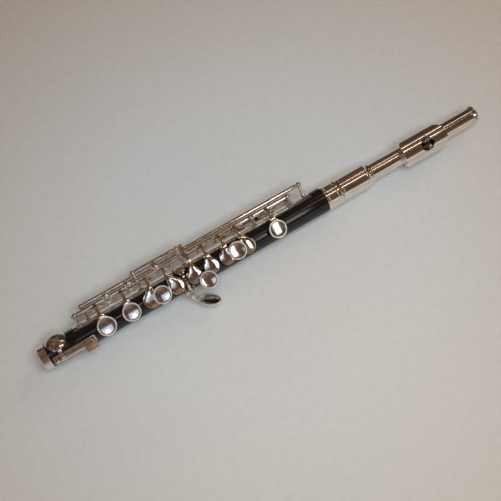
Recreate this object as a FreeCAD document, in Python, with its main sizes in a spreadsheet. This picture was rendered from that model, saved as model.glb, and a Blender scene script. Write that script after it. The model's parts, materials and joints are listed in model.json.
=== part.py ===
import FreeCAD, Part
import math
import os
import re
import Sketcher

# A concert piccolo: a black conical body with silver-plated keywork and a
# silver-plated head joint.  Every piece is drawn in the instrument frame, in
# millimetres: +X runs up the bore from the foot end, +Z points at the player's
# fingers (the key discs face that way) and +Y is the side of the hinge rods.
# The placement of each piece then rolls it about the bore, the way the
# instrument lies on a table, on its receiver ring and the G sharp spoon.

SIZES = [
    # whole instrument
    ("roll_angle", 32, "roll about the bore when it lies on a table, degrees"),
    ("body_length", 200.5, "black body, foot end to receiver ring"),
    ("body_foot_radius", 7.55, "outside of the body at the foot"),
    ("body_top_radius", 8.4, "outside of the body at the receiver ring"),
    ("bore_foot_radius", 4.1, "bore at the foot"),
    ("bore_top_radius", 5.3, "bore at the top of the tenon"),
    ("foot_bore_depth", 8, "straight stretch of bore at the foot"),
    # rings, tenon and cork
    ("foot_ring_length", 4.9, "silver ring on the foot"),
    ("foot_ring_seat", 6.6, "radius of the spigot the foot ring sits on"),
    ("receiver_length", 11.5, "silver ring at the top of the body"),
    ("tenon_radius", 6.5, "tenon that enters the head joint"),
    ("tenon_length", 29, "from the end of the black body to the tenon's end"),
    ("cork_start", 14.5, "from the end of the black body to the cork"),
    ("cork_length", 12, "tenon cork"),
    ("cork_groove", 0.5, "depth of the groove under the cork"),
    ("running_gap", 0.05, "radial gap of parts that turn or slide"),
    # head joint
    ("socket_gap", 0.3, "seam between receiver ring and head socket"),
    ("socket_length", 24.7, "head socket with its step ring"),
    ("socket_radius", 7.85, "outside of the head socket"),
    ("socket_bore", 7.05, "inside of the head socket"),
    ("head_radius", 5.8, "outside of the head tube"),
    ("head_wall", 0.4, "wall of the head tube"),
    ("head_length", 103.7, "head joint, low end of its socket to the tube's end"),
    ("crown_length", 6, "crown beyond the head tube's end"),
    ("crown_radius", 6.55, "rim of the crown"),
    ("crown_spigot", 4.5, "spigot of the crown inside the tube"),
    ("embouchure_offset", 38.1, "blow hole centre to the head tube's end"),
    ("embouchure_half_length", 4.85, "blow hole along the tube"),
    ("embouchure_half_width", 4.4, "blow hole across the tube"),
    ("lip_low_length", 17.8, "lip plate from the hole towards the foot"),
    ("lip_high_length", 15.3, "lip plate from the hole towards the crown"),
    ("lip_half_width", 8.6, "lip plate across the tube"),
    ("lip_radius", 9.5, "curve of the lip plate"),
    ("lip_wall", 0.8, "lip plate"),
    ("lip_rise", 0.5, "height of the lip plate's centre line over the bore"),
    ("lip_end_wall", 1.3, "wall that closes the lip plate on the tube at its foot end"),
    ("riser_wall", 1.2, "chimney between tube and lip plate"),
    ("stopper_distance", 7.8, "blow hole centre to the stopper's face"),
    ("stopper_plate", 0.8, "each metal disc of the stopper"),
    ("stopper_cork_length", 8, "cork between the stopper's discs"),
    ("stopper_rod_radius", 1.2, "threaded rod between stopper and crown"),
    # key cups, pads and discs
    ("cup_radius", 5.2, "cups of the right hand"),
    ("left_cup_radius", 5.0, "cups of the left hand"),
    ("d_disc_radius", 5.9, "finger disc of the D key"),
    ("disc_radius", 5.7, "finger discs of the E and F keys"),
    ("g_disc_radius", 5.65, "finger disc of the G key"),
    ("left_disc_radius", 5.75, "finger discs of the A and C keys"),
    ("g_disc_offset", 6.0, "G disc towards the player's palm"),
    ("seat_drop", 1.0, "depth of a pad seat below the body's surface"),
    ("seat_margin", 0.4, "room round a cup in its seat"),
    ("tone_hole_share", 0.5, "tone hole radius over cup radius"),
    ("pad_height", 1.6, "pad"),
    ("pad_gap", 0.03, "closed pad above its seat"),
    ("pad_margin", 0.25, "cup wall round the pad"),
    ("skirt_lift", 0.5, "bare pad below the skirt of its cup"),
    ("arm_wall", 1.1, "thickness of a key arm"),
    ("arm_half_width", 0.95, "key arm at the hinge tube"),
    ("arm_neck", 9.2, "from the bore's plane to the neck of a teardrop"),
    ("disc_height", 1.5, "finger disc without its bead"),
    ("disc_bead", 0.5, "radius of the bead round a finger disc"),
    ("dish_depth", 0.4, "hollow of a finger disc"),
    ("disc_lift", 0.55, "gap under a disc that stands over two cups"),
    ("open_angle", 6, "how far an open key stands off its seat, degrees"),
    # hinge rods and posts
    ("tube_radius", 1.35, "hinge tube"),
    ("steel_radius", 0.75, "hinge steel inside the tubes"),
    ("ball_radius", 1.75, "ball of a post"),
    ("pillar_radius", 1.0, "shaft of a post"),
    ("flange_radius", 1.7, "foot of a post"),
    ("flange_height", 0.8, "foot of a post, above the rib"),
    ("small_flange_radius", 1.2, "foot of a G sharp post, between two cups"),
    ("rib_wall", 0.7, "strap that carries the posts"),
    ("tube_gap", 0.1, "end play between hinge tubes"),
    ("inner_rod_y", 14.0, "main hinge rod, across"),
    ("inner_rod_z", 2.6, "main hinge rod, up"),
    ("outer_rod_y", 16.6, "trill rod, across"),
    ("outer_rod_z", -0.2, "trill rod, up"),
    ("side_rod_y", 19.4, "side key rod, across"),
    ("side_rod_z", 2.3, "side key rod, up"),
    # E flat key
    ("eflat_dome_radius", 6.6, "E flat cup"),
    ("eflat_angle", 54, "E flat cup round the body, degrees"),
    ("eflat_rod_angle", -21, "E flat hinge round the body, degrees"),
    ("eflat_rod_distance", 10.2, "E flat hinge from the bore"),
    # G sharp key
    ("gsharp_dome_radius", 3.5, "G sharp cup"),
    ("gsharp_angle", 55, "G sharp cup round the body, degrees"),
    ("gsharp_rod_angle", -38, "G sharp hinge round the body, degrees"),
    ("gsharp_rod_distance", 11.0, "G sharp hinge from the bore"),
    ("gsharp_post_low", 2.7, "G sharp cup to the post nearer the foot"),
    ("gsharp_post_high", 2.5, "G sharp cup to the post nearer the head"),
    ("spoon_half_length", 8.0, "G sharp spoon"),
    ("spoon_half_width", 4.5, "G sharp spoon"),
    ("spoon_depth", 3.4, "G sharp spoon"),
    ("spoon_offset", 7.6, "G sharp spoon, from its cup towards the head"),
    ("spoon_y", -17.7, "G sharp spoon across"),
    ("spoon_z", 6.6, "G sharp spoon up"),
    ("spoon_lean", -60, "how far the spoon's hollow leans back over the body, degrees"),
    ("spoon_turn", -52, "turn of the spoon in its own plane, degrees"),
    ("spoon_wall", 0.8, "G sharp spoon"),
    # thumb keys
    ("thumb_rod_angle", 112, "thumb hinge round the body, degrees"),
    ("thumb_rod_distance", 12.4, "thumb hinge from the bore"),
    ("thumb_angle", 160, "thumb cups round the body, degrees"),
    ("thumb_cup_radius", 4.1, "thumb cups"),
    ("thumb_reach", 13.2, "thumb touches from the bore"),
    # trill keys
    ("trill_cup_radius", 3.4, "trill cups"),
    ("trill_angle", 132, "trill cups round the body, degrees"),
    ("trill_touch_radius", 2.3, "round trill touches"),
    ("trill_touch_y", 15.6, "round touches across, over the rods"),
    ("touch_z", 5.2, "round touches up"),
    ("side_touch_y", 16.4, "side key touch across"),
    # places along the body, in percent of the body's length
    ("d_station", 21.4, "D cup"),
    ("e_station", 29.7, "E cup"),
    ("f_station", 36.7, "F cup"),
    ("fsharp_station", 45.2, "F sharp cup"),
    ("gsharp_station", 48.5, "G sharp cup"),
    ("side_station", 51.5, "low G cup"),
    ("g_station", 57.5, "G cup"),
    ("a_station", 63.0, "A cup"),
    ("bflat_station", 70.2, "B flat cup"),
    ("c_station", 80.9, "C cup"),
    ("thumb_bflat_station", 78.3, "thumb B flat cup"),
    ("thumb_b_station", 73.0, "thumb B cup"),
    ("low_trill_station", 83.6, "lower trill cup"),
    ("high_trill_station", 89.2, "upper trill cup"),
    ("low_touch_station", 25.4, "lower trill touch"),
    ("high_touch_station", 32.9, "upper trill touch"),
    ("side_touch_station", 42.5, "side key touch"),
    ("foot_post_station", 14.5, "lowest main post"),
    ("stack_post_station", 35.6, "main post between the E and F keys"),
    ("middle_post_station", 50.7, "main post between the two hands"),
    ("left_post_station", 75.8, "main post below the C key"),
    ("top_post_station", 89.4, "uppermost main post"),
    ("low_trill_post_station", 17.6, "lower trill post"),
    ("high_trill_post_station", 94.7, "upper trill post"),
    ("eflat_x", 12.4, "E flat cup from the foot end"),
]

ORIGIN = FreeCAD.Vector(0, 0, 0)
X_AXIS = FreeCAD.Vector(1, 0, 0)
Z_AXIS = FreeCAD.Vector(0, 0, 1)

doc = FreeCAD.newDocument("Piccolo")
sheet = doc.addObject("Spreadsheet::Sheet", "Sizes")
for row, (alias, value, note) in enumerate(SIZES, start=1):
    sheet.set(f"A{row}", note)
    sheet.set(f"B{row}", str(value))
    sheet.setAlias(f"B{row}", alias)
doc.recompute()

ALIASES = {alias for alias, value, note in SIZES}
parts = []


# ---------------------------------------------------------------- helpers

def size(alias):
    """The number in the sheet's cell of that name."""
    return float(sheet.get(alias))


def formula(text):
    """An expression in which each size's name points at the sheet."""
    return re.sub(r"[a-z_]+[a-z0-9_]*", lambda word: "Sizes." + word.group(0)
                  if word.group(0) in ALIASES else word.group(0), str(text))


def bind(item, **sizes):
    """Tie properties of a document object to the sheet."""
    for name, text in sizes.items():
        item.setExpression(name, formula(text))
    return item


def new_name(stem):
    """A free object name in the document."""
    number = len(doc.Objects)
    return f"{stem}_{number}"


def around(x, angle, distance):
    """The point at an angle round the bore: 0 is +Z, 90 is the rod side."""
    turn = math.radians(angle)
    return FreeCAD.Vector(x, distance * math.sin(turn), distance * math.cos(turn))


def outward(angle):
    """The direction that points away from the bore at that angle."""
    return around(0, angle, 1)


def body_radius(x):
    """Outside of the black body at x."""
    share = x / size("body_length")
    return size("body_foot_radius") * (1 - share) + size("body_top_radius") * share


def cylinder(radius, height, base=ORIGIN, axis=Z_AXIS, stem="cylinder"):
    """A cylinder that stands on base and grows along axis."""
    item = doc.addObject("Part::Cylinder", new_name(stem))
    bind(item, Radius=radius, Height=height)
    item.Placement = FreeCAD.Placement(base, FreeCAD.Rotation(Z_AXIS, axis))
    return item


def rod_cylinder(radius, x_low, x_high, centre, stem="rod"):
    """A cylinder along the bore's direction, from x_low to x_high."""
    base = FreeCAD.Vector(x_low, centre.y, centre.z)
    return cylinder(radius, x_high - x_low, base, X_AXIS, stem)


def sphere(radius, centre, stem="ball"):
    item = doc.addObject("Part::Sphere", new_name(stem))
    bind(item, Radius=radius)
    item.Placement.Base = centre
    return item


def cone(radius_low, radius_high, height, x_low, stem="cone"):
    """A cone along the bore that starts at x_low."""
    item = doc.addObject("Part::Cone", new_name(stem))
    bind(item, Radius1=radius_low, Radius2=radius_high, Height=height)
    item.Placement = FreeCAD.Placement(FreeCAD.Vector(x_low, 0, 0), FreeCAD.Rotation(Z_AXIS, X_AXIS))
    return item


def box(length, width, height, corner, stem="block"):
    item = doc.addObject("Part::Box", new_name(stem))
    bind(item, Length=length, Width=width, Height=height)
    item.Placement.Base = corner
    return item


def fuse(items, stem="joined"):
    if len(items) == 1:
        return items[0]
    item = doc.addObject("Part::MultiFuse", new_name(stem))
    item.Shapes = items
    return item


def cut(base, tool, stem="cut"):
    item = doc.addObject("Part::Cut", new_name(stem))
    item.Base = base
    item.Tool = tool
    return item


def common(first, second, stem="shared"):
    item = doc.addObject("Part::Common", new_name(stem))
    item.Base = first
    item.Tool = second
    return item


def group(item, stem="group"):
    """A piece that can be placed while its source stays in the drawing frame."""
    holder = doc.addObject("Part::Compound", new_name(stem))
    holder.Links = [item]
    return holder


def drawn(shape, stem):
    """A document object that holds a shape drawn with Part's functions."""
    item = doc.addObject("Part::Feature", new_name(stem))
    item.Shape = shape
    return item


def turn_about(rod, angle):
    """The placement that turns a piece about a hinge rod along X."""
    turn = FreeCAD.Rotation(X_AXIS, angle)
    return FreeCAD.Placement(ORIGIN, turn, FreeCAD.Vector(0, rod.y, rod.z))


def rolled():
    """The roll of the whole instrument about its bore."""
    return FreeCAD.Placement(ORIGIN, FreeCAD.Rotation(X_AXIS, size("roll_angle")))


def keep(label, item, rod=None, angle=0):
    """Register a sub-part: name it, swing it to its rest and roll it."""
    placement = rolled()
    if rod is not None:
        placement = placement.multiply(turn_about(rod, angle))
    item.Label = label
    item.Placement = placement.multiply(item.Placement)
    parts.append(item)
    return item


def turned(name, profile):
    """A body turned about the bore from a closed (x, radius) outline."""
    body = doc.addObject("PartDesign::Body", new_name(name))
    sketch = body.newObject("Sketcher::SketchObject", new_name(name + "_profile"))
    plane = [item for item in body.Origin.OriginFeatures if item.Role == "XZ_Plane"][0]
    sketch.AttachmentSupport = (plane, [""])
    sketch.MapMode = "FlatFace"
    start = [FreeCAD.Vector(100 + index, 10 + index % 2, 0) for index in range(len(profile))]
    for index, point in enumerate(start):
        sketch.addGeometry(Part.LineSegment(point, start[(index + 1) % len(start)]))
    for index in range(len(profile)):
        following = (index + 1) % len(profile)
        sketch.addConstraint(Sketcher.Constraint("Coincident", index, 2, following, 1))
    for index, (x_text, radius_text) in enumerate(profile):
        along = sketch.addConstraint(
            Sketcher.Constraint("DistanceX", -1, 1, index, 1, start[index].x))
        sketch.setExpression(f"Constraints[{along}]", formula(x_text))
        across = sketch.addConstraint(
            Sketcher.Constraint("DistanceY", -1, 1, index, 1, start[index].y))
        sketch.setExpression(f"Constraints[{across}]", formula(radius_text))
    turning = body.newObject("PartDesign::Revolution", new_name(name + "_turning"))
    turning.Profile = sketch
    turning.ReferenceAxis = (sketch, ["H_Axis"])
    turning.Angle = 360
    body.Tip = turning
    return body


# ------------------------------------------------- places that follow sizes

def station(name):
    """A place along the body, from its share of the body's length."""
    return size(name + "_station") / 100 * size("body_length")


def seat(x):
    """Distance of a pad seat from the bore's centre line."""
    return body_radius(x) - size("seat_drop")


inner_rod = FreeCAD.Vector(0, size("inner_rod_y"), size("inner_rod_z"))
outer_rod = FreeCAD.Vector(0, size("outer_rod_y"), size("outer_rod_z"))
side_rod = FreeCAD.Vector(0, size("side_rod_y"), size("side_rod_z"))
eflat_rod = around(0, size("eflat_rod_angle"), size("eflat_rod_distance"))
gsharp_rod = around(0, size("gsharp_rod_angle"), size("gsharp_rod_distance"))
thumb_rod = around(0, size("thumb_rod_angle"), size("thumb_rod_distance"))
side_open_angle = size("open_angle") * size("inner_rod_y") / size("side_rod_y")
receiver_end = size("body_length") + size("receiver_length")
head_start = receiver_end + size("socket_gap")
head_end = head_start + size("head_length")
embouchure_x = head_end - size("embouchure_offset")
post_gap = size("ball_radius") + size("tube_gap")
body_end = "body_length"
bore_radius = "steel_radius + running_gap"


# ------------------------------------------------------------ key building

def teardrop(x_cup, x_arm, radius, rod, roof):
    """A key's top: a round cup roof that tapers into the arm to its tube."""
    radius = size(radius)
    width = size("arm_half_width")
    neck = size("arm_neck")
    spread = math.radians(60)
    lean = 0.35
    top = rod.y + size("tube_radius")

    def shoulder(side):
        start = FreeCAD.Vector(x_cup + side * radius * math.sin(spread), radius * math.cos(spread), 0)
        end = FreeCAD.Vector(x_arm + side * width, neck, 0)
        middle = (start + end) * 0.5 - FreeCAD.Vector(side * lean, 0, 0)
        return start, middle, end

    right = shoulder(1)
    left = shoulder(-1)
    corners = [FreeCAD.Vector(x_arm + width, top, 0), FreeCAD.Vector(x_arm - width, top, 0)]
    edges = [
        Part.Arc(left[0], FreeCAD.Vector(x_cup, -radius, 0), right[0]).toShape(),
        Part.Arc(*right).toShape(),
        Part.makeLine(right[2], corners[0]),
        Part.makeLine(corners[0], corners[1]),
        Part.makeLine(corners[1], left[2]),
        Part.Arc(left[2], left[1], left[0]).toShape(),
    ]
    outline = Part.Face(Part.Wire(edges)).extrude(FreeCAD.Vector(0, 0, 4 * roof))

    wall = size("arm_wall")
    bend_y = radius - size("pad_margin")
    fall = roof - rod.z
    reach = rod.y - bend_y
    curve = (reach ** 2 + fall ** 2) / (2 * fall)
    sweep = math.asin(reach / curve)
    low = x_cup - 2 * radius

    def arc_point(distance, share):
        return FreeCAD.Vector(low, bend_y + distance * math.sin(share * sweep),
                              roof - curve + distance * math.cos(share * sweep))

    inside = [arc_point(curve, share) for share in (0, 0.5, 1)]
    outside = [arc_point(curve + wall, share) for share in (1, 0.5, 0)]
    back_low = FreeCAD.Vector(low, -2 * radius, roof)
    back_high = FreeCAD.Vector(low, -2 * radius, roof + wall)
    section = [
        Part.makeLine(back_low, inside[0]),
        Part.Arc(*inside).toShape(),
        Part.makeLine(inside[2], outside[0]),
        Part.Arc(*outside).toShape(),
        Part.makeLine(outside[2], back_high),
        Part.makeLine(back_high, back_low),
    ]
    strip = Part.Face(Part.Wire(section)).extrude(FreeCAD.Vector(4 * radius, 0, 0))
    return drawn(outline.common(strip), "teardrop")


def pad_foot(x):
    """Underside of a closed pad, from the bore's centre line."""
    return seat(x) + size("pad_gap")


def cup_roof(x):
    """Underside of a closed cup's roof, from the bore's centre line."""
    return pad_foot(x) + size("pad_height")


def skirt(x, angle, radius):
    """The wall of a cup, open below for its pad."""
    low = pad_foot(x) + size("skirt_lift")
    direction = outward(angle)
    wall = cylinder(radius, "pad_height - skirt_lift", around(x, angle, low), direction, "skirt")
    hollow = cylinder(f"{radius} - pad_margin", "pad_height", around(x, angle, low), direction)
    return cut(wall, hollow)


def pad(x, angle, radius):
    base = around(x, angle, pad_foot(x))
    return cylinder(f"{radius} - pad_margin", "pad_height", base, outward(angle), "pad")


def dome(x, angle, radius, rise):
    """A convex cup roof: a slice of a ball on a round rim."""
    rim = 0.6
    foot = cup_roof(x)
    curve = (size(radius) ** 2 + rise ** 2) / (2 * rise)
    slug = cylinder(radius, rise + rim + 1, around(x, angle, foot), outward(angle))
    ball = sphere(curve, around(x, angle, foot + rim + rise - curve))
    return common(slug, ball, "dome")


def finger_disc(x, y, bottom, radius):
    """A dished finger disc with a raised bead round its edge."""
    base = FreeCAD.Vector(x, y, bottom)
    plate = cylinder(radius, "disc_height", base, stem="disc")
    bead = doc.addObject("Part::Torus", new_name("bead"))
    bind(bead, Radius1=f"{radius} - disc_bead", Radius2="disc_bead")
    bead.Placement.Base = FreeCAD.Vector(x, y, bottom + size("disc_height"))
    inner = size(radius) - 2 * size("disc_bead")
    depth = size("dish_depth")
    curve = (inner ** 2 + depth ** 2) / (2 * depth)
    dish = sphere(curve, FreeCAD.Vector(x, y, bottom + size("disc_height") - depth + curve))
    return cut(fuse([plate, bead]), dish)


def tube(x_low, x_high, rod):
    return rod_cylinder("tube_radius", x_low, x_high, rod, "tube")


def bored(solid, x_low, x_high, rod):
    """The same key with its hinge tube bored for the steel."""
    margin = 2
    return cut(solid, rod_cylinder(bore_radius, x_low - margin, x_high + margin, rod, "bore"), "key")


def band(x_low, width, inside, outside, angle_from, angle_to):
    """A strip bent round the bore, from one angle to another."""
    middle = (angle_from + angle_to) / 2
    edges = [
        Part.Arc(*[around(x_low, a, inside) for a in (angle_from, middle, angle_to)]).toShape(),
        Part.makeLine(around(x_low, angle_to, inside), around(x_low, angle_to, outside)),
        Part.Arc(*[around(x_low, a, outside) for a in (angle_to, middle, angle_from)]).toShape(),
        Part.makeLine(around(x_low, angle_from, outside), around(x_low, angle_from, inside)),
    ]
    return drawn(Part.Face(Part.Wire(edges)).extrude(FreeCAD.Vector(width, 0, 0)), "band")


def bar(x, width, start, end, thickness):
    """A flat bar between two points (y, z), centred on x."""
    first = FreeCAD.Vector(x - width / 2, start[0], start[1])
    second = FreeCAD.Vector(x - width / 2, end[0], end[1])
    along = (second - first).normalize()
    across = FreeCAD.Vector(0, -along.z, along.y) * (thickness / 2)
    corners = [first - across, second - across, second + across, first + across, first - across]
    return drawn(Part.Face(Part.makePolygon(corners)).extrude(FreeCAD.Vector(width, 0, 0)), "bar")


def point_of(vector):
    return (vector.y, vector.z)


# ------------------------------------------------------------------- posts

def post(x, rod, ball="ball_radius", hole="steel_radius", flange="flange_radius"):
    """A turned post: foot on the strap, shaft, and a ball bored for the rod."""
    angle = math.degrees(math.atan2(rod.y, rod.z))
    distance = math.hypot(rod.y, rod.z)
    base = body_radius(x) - 1
    direction = outward(angle)
    flange_top = "rib_wall + flange_height + 1"
    solid = fuse([
        cylinder("pillar_radius", distance - base, around(x, angle, base), direction, "pillar"),
        cylinder(flange, flange_top, around(x, angle, base), direction, "flange"),
        sphere(ball, around(x, angle, distance)),
    ], "post")
    length = 2 * size("ball_radius") + 2
    return cut(solid, rod_cylinder(hole, x - length / 2, x + length / 2, rod, "hole"))


def strut(x):
    """The arm from a main post out to the side rod, with its own ball."""
    start = FreeCAD.Vector(x, inner_rod.y, inner_rod.z)
    end = FreeCAD.Vector(x, side_rod.y, side_rod.z)
    reach = end - start
    solid = fuse([
        cylinder("pillar_radius * 0.85", reach.Length, start, reach, "strut"),
        sphere("ball_radius", end),
    ])
    length = 2 * size("ball_radius") + 2
    return cut(solid, fuse([
        rod_cylinder(bore_radius, x - length / 2, x + length / 2, side_rod),
        rod_cylinder("steel_radius", x - length / 2, x + length / 2, inner_rod),
    ]))


def outer_cone(extra="0"):
    """The outside of the black body, grown by extra."""
    return cone(f"body_foot_radius + {extra}", f"body_top_radius + {extra}", body_end, 0)


def on_body(item):
    """The same posts, ending on the body's surface."""
    return cut(item, outer_cone(), "posts")


# -------------------------------------------------------------- the body

# (cup x, angle round the body, cup radius) of every tone hole
TONE_HOLES = [
    (station("d"), 0, "cup_radius"),
    (station("e"), 0, "cup_radius"),
    (station("f"), 0, "cup_radius"),
    (station("fsharp"), 0, "cup_radius"),
    (station("side"), 0, "left_cup_radius"),
    (station("g"), 0, "left_cup_radius"),
    (station("a"), 0, "left_cup_radius"),
    (station("bflat"), 0, "left_cup_radius"),
    (station("c"), 0, "left_cup_radius"),
    (size("eflat_x"), size("eflat_angle"), "eflat_dome_radius"),
    (station("gsharp"), size("gsharp_angle"), "gsharp_dome_radius"),
    (station("thumb_b"), size("thumb_angle"), "thumb_cup_radius"),
    (station("thumb_bflat"), size("thumb_angle"), "thumb_cup_radius"),
    (station("low_trill"), size("trill_angle"), "trill_cup_radius"),
    (station("high_trill"), size("trill_angle"), "trill_cup_radius"),
]


def make_body():
    """Black body: cone outside, cone bore, spigot, tenon and tone holes."""
    around_spigot = cut(cylinder("body_foot_radius + 5", "foot_ring_length", ORIGIN, X_AXIS),
                        cylinder("foot_ring_seat", "foot_ring_length", ORIGIN, X_AXIS))
    outside = cut(outer_cone(), around_spigot)
    top = size("body_length")
    tenon = cylinder("tenon_radius", "tenon_length", FreeCAD.Vector(top, 0, 0), X_AXIS)
    groove_x = top + size("cork_start")
    groove = cut(
        cylinder("tenon_radius + 1", "cork_length", FreeCAD.Vector(groove_x, 0, 0), X_AXIS),
        cylinder("tenon_radius - cork_groove", "cork_length", FreeCAD.Vector(groove_x, 0, 0), X_AXIS))
    bore = fuse([
        cylinder("bore_foot_radius", "foot_bore_depth", ORIGIN, X_AXIS),
        cone("bore_foot_radius", "bore_top_radius", "body_length + tenon_length - foot_bore_depth",
             size("foot_bore_depth")),
    ])
    solid = cut(fuse([outside, tenon]), groove)
    for x, angle, radius in TONE_HOLES:
        direction = outward(angle)
        spot = cylinder(f"{radius} + seat_margin", 4, around(x, angle, seat(x)), direction, "spot")
        hole = cylinder(f"{radius} * tone_hole_share", seat(x) + 1, around(x, angle, 0), direction, "hole")
        solid = cut(cut(solid, spot), hole)
    keep("body", cut(solid, bore, "body"))


def make_rings():
    """Silver rings on the foot and at the top of the body."""
    keep("foot_ring", turned("foot_ring", [
        ("0.4", "foot_ring_seat"),
        ("0", "foot_ring_seat + 0.3"),
        ("0", "body_foot_radius - 0.35"),
        ("0.35", "body_foot_radius"),
        ("foot_ring_length - 0.9", "body_foot_radius"),
        ("foot_ring_length - 0.6", "body_foot_radius + 0.15"),
        ("foot_ring_length", "body_foot_radius + 0.15"),
        ("foot_ring_length", "foot_ring_seat"),
    ]))
    keep("receiver_ring", turned("receiver_ring", [
        ("body_length", "tenon_radius"),
        ("body_length", "body_top_radius - 0.15"),
        ("body_length + 0.5", "body_top_radius + 0.15"),
        ("body_length + 1.4", "body_top_radius + 0.15"),
        ("body_length + 2.2", "body_top_radius - 0.35"),
        ("body_length + receiver_length - 3.4", "body_top_radius - 0.45"),
        ("body_length + receiver_length - 3.0", "body_top_radius"),
        ("body_length + receiver_length - 1.2", "body_top_radius"),
        ("body_length + receiver_length - 0.6", "body_top_radius - 0.25"),
        ("body_length + receiver_length", "body_top_radius - 0.4"),
        ("body_length + receiver_length", "tenon_radius"),
    ]))


def make_tenon_cork():
    keep("tenon_cork", turned("tenon_cork", [
        ("body_length + cork_start + running_gap", "tenon_radius - cork_groove + running_gap"),
        ("body_length + cork_start + running_gap", "socket_bore - running_gap - 0.3"),
        ("body_length + cork_start + 1", "socket_bore - running_gap"),
        ("body_length + cork_start + cork_length - 1", "socket_bore - running_gap"),
        ("body_length + cork_start + cork_length - running_gap", "socket_bore - running_gap - 0.3"),
        ("body_length + cork_start + cork_length - running_gap", "tenon_radius - cork_groove + running_gap"),
    ]))


# --------------------------------------------------------- the head joint

def make_head_joint():
    """Socket with its rings, tube, chimney, lip plate, stopper and crown."""
    start = "(body_length + receiver_length + socket_gap)"
    end = f"({start} + socket_length)"
    wall_start = "(body_length + tenon_length + 0.6)"
    keep("head_socket", turned("head_socket", [
        (start, "socket_bore"),
        (start, "socket_radius - 0.2"),
        (f"{start} + 0.5", "socket_radius + 0.1"),
        (f"{start} + 1.3", "socket_radius + 0.1"),
        (f"{start} + 1.7", "socket_radius - 0.1"),
        (f"{end} - 5.4", "socket_radius"),
        (f"{end} - 5.0", "socket_radius + 0.2"),
        (f"{end} - 4.2", "socket_radius + 0.2"),
        (f"{end} - 3.6", "socket_radius - 0.4"),
        (f"{end} - 2.6", "socket_radius - 1.0"),
        (f"{end} - 1.6", "socket_radius - 1.15"),
        (f"{end} - 1.2", "head_radius + 0.9"),
        (f"{end} - 0.3", "head_radius + 0.7"),
        (end, "head_radius + 0.3"),
        (end, "head_radius"),
        (wall_start, "head_radius"),
        (wall_start, "socket_bore"),
    ]))
    tube_length = f"{start} + head_length - {wall_start}"
    tube_x = size("body_length") + size("tenon_length") + 0.6
    along = FreeCAD.Vector(tube_x, 0, 0)
    hole = Part.Ellipse(FreeCAD.Vector(embouchure_x, 0, 0), size("embouchure_half_length"),
                        size("embouchure_half_width")).toShape()
    tall = FreeCAD.Vector(0, 0, 20)
    blow_hole = drawn(Part.Face(Part.Wire([hole])).extrude(tall), "blow_hole")
    head_tube = cut(cylinder("head_radius", tube_length, along, X_AXIS),
                    cylinder("head_radius - head_wall", tube_length, along, X_AXIS))
    keep("head_tube", cut(head_tube, blow_hole))

    lip_base = FreeCAD.Vector(embouchure_x - 30, 0, size("lip_rise"))
    lip_low = embouchure_x - size("lip_low_length")
    lip_high = embouchure_x + size("lip_high_length")
    half = size("lip_half_width")

    chimney = Part.Ellipse(FreeCAD.Vector(embouchure_x, 0, 0),
                           size("embouchure_half_length") + size("riser_wall"),
                           size("embouchure_half_width") + size("riser_wall")).toShape()
    chimney_block = drawn(Part.Face(Part.Wire([chimney])).extrude(tall), "chimney")
    under_lip = cylinder("lip_radius - lip_wall", 60, lip_base, X_AXIS)
    riser = cut(common(chimney_block, under_lip), cylinder("head_radius", tube_length, along, X_AXIS))
    keep("embouchure_riser", cut(riser, blow_hole))

    shell = cut(cylinder("lip_radius", 60, lip_base, X_AXIS),
                cylinder("lip_radius - lip_wall", 60, lip_base, X_AXIS))
    end_base = FreeCAD.Vector(lip_low + 0.3, 0, size("lip_rise"))
    end_wall = cut(cylinder("lip_radius - lip_wall / 2", "lip_end_wall", end_base, X_AXIS),
                   cylinder("head_radius", tube_length, along, X_AXIS))
    plate = cut(common(fuse([shell, end_wall]), lip_outline(lip_low, lip_high, half)), blow_hole)
    keep("lip_plate", plate)

    stopper_x = embouchure_x + size("stopper_distance")
    inside = "head_radius - head_wall - running_gap"
    cork_x = stopper_x + size("stopper_plate")
    back_x = cork_x + size("stopper_cork_length")
    crown_x = head_end
    rod_end = crown_x + size("crown_length") - 3.2
    face = cylinder(inside, "stopper_plate", FreeCAD.Vector(stopper_x, 0, 0), X_AXIS)
    rod = rod_cylinder("stopper_rod_radius", stopper_x, rod_end, ORIGIN)
    keep("stopper_rod", fuse([face, rod]))
    keep("stopper_cork", cut(
        cylinder(inside, "stopper_cork_length", FreeCAD.Vector(cork_x, 0, 0), X_AXIS),
        cylinder("stopper_rod_radius", "stopper_cork_length", FreeCAD.Vector(cork_x, 0, 0), X_AXIS)))
    keep("stopper_nut", cut(
        cylinder(inside, "stopper_plate", FreeCAD.Vector(back_x, 0, 0), X_AXIS),
        cylinder("stopper_rod_radius", "stopper_plate", FreeCAD.Vector(back_x, 0, 0), X_AXIS)))

    tube_end = f"({start} + head_length)"
    thread = "stopper_rod_radius + running_gap"
    blind = f"{tube_end} + crown_length - 2"
    keep("crown", turned("crown", [
        (f"{tube_end} - crown_spigot", thread),
        (f"{tube_end} - crown_spigot", "head_radius - head_wall - running_gap"),
        (f"{tube_end} + 0.05", "head_radius - head_wall - running_gap"),
        (f"{tube_end} + 0.05", "head_radius"),
        (f"{tube_end} + crown_length * 0.35", "head_radius + 0.05"),
        (f"{tube_end} + crown_length * 0.5", "crown_radius - 0.25"),
        (f"{tube_end} + crown_length * 0.58", "crown_radius"),
        (f"{tube_end} + crown_length * 0.72", "crown_radius"),
        (f"{tube_end} + crown_length * 0.8", "crown_radius - 0.3"),
        (f"{tube_end} + crown_length * 0.9", "crown_radius - 1.7"),
        (f"{tube_end} + crown_length * 0.97", "crown_radius - 3.6"),
        (f"{tube_end} + crown_length", "0"),
        (blind, "0"),
        (blind, thread),
    ]))


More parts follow.
